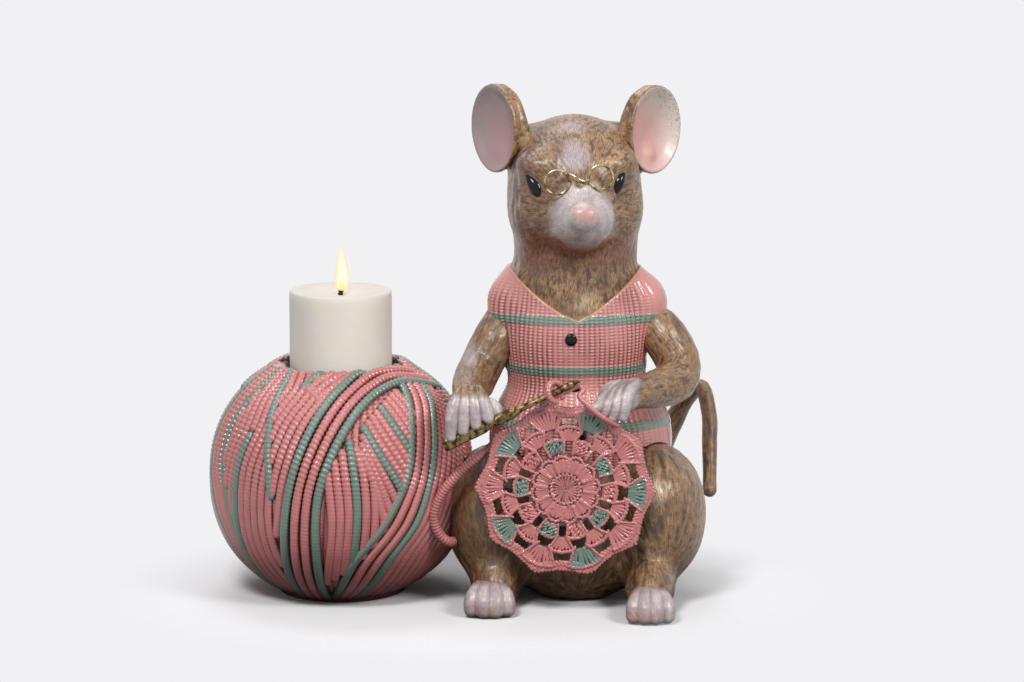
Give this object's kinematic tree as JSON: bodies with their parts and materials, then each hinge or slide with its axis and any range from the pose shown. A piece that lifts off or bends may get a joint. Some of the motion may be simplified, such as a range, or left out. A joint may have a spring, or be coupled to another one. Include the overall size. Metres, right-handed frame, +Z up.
{
  "type": "figurine candle holder",
  "caption": "Resin candle holder: a seated mouse in a knitted vest crochets a round doily beside a ball of yarn whose top has a well for a pillar candle.",
  "frame": {"origin": "on the table, under the centre of the ball's felt pad and the axis of the candle", "axes": "+Z up, -Y towards the viewer and the way the mouse faces, +X from the ball towards the mouse"},
  "size_m": [0.201, 0.1164, 0.1998],
  "materials": {
    "pink_yarn_resin": "cast resin moulded as yarn and knitting, painted salmon pink with a dark wash, clear gloss varnish",
    "fur_resin": "cast resin with engraved fur, painted ochre brown with a dark wash, clear gloss varnish",
    "pale_fur_resin": "cast resin painted pale pink, clear gloss varnish",
    "ear_resin": "cast resin, pink inside and brown behind, clear gloss varnish",
    "black_resin": "gloss black",
    "brass": "darkened brass",
    "wax": "ivory candle wax",
    "wick": "burnt cotton",
    "felt": "dark felt"
  },
  "bodies": {
    "figure": {"yarn_ball": "pink_yarn_resin", "ball_felt": "felt", "lower_body": "fur_resin", "seat_felt": "felt", "right_foot": "pale_fur_resin", "left_foot": "pale_fur_resin", "tail": "fur_resin", "vest": "pink_yarn_resin", "head": "fur_resin", "right_ear": "ear_resin", "left_ear": "ear_resin", "right_eye": "black_resin", "left_eye": "black_resin", "spectacles": "brass", "right_arm": "fur_resin", "left_arm": "fur_resin", "crochet_hook": "brass", "doily": "pink_yarn_resin", "yarn_lead": "pink_yarn_resin", "working_loop": "pink_yarn_resin", "working_yarn": "pink_yarn_resin", "button_1": "black_resin", "button_2": "black_resin", "button_3": "black_resin"},
    "candle": {"candle": "wax", "wick": "wick"}
  },
  "joints": [
    {"name": "candle_lift", "type": "slide", "parent": "figure", "child": "candle", "axis": [0, 0, 1], "range_m": [0, 0.06]}
  ]
}
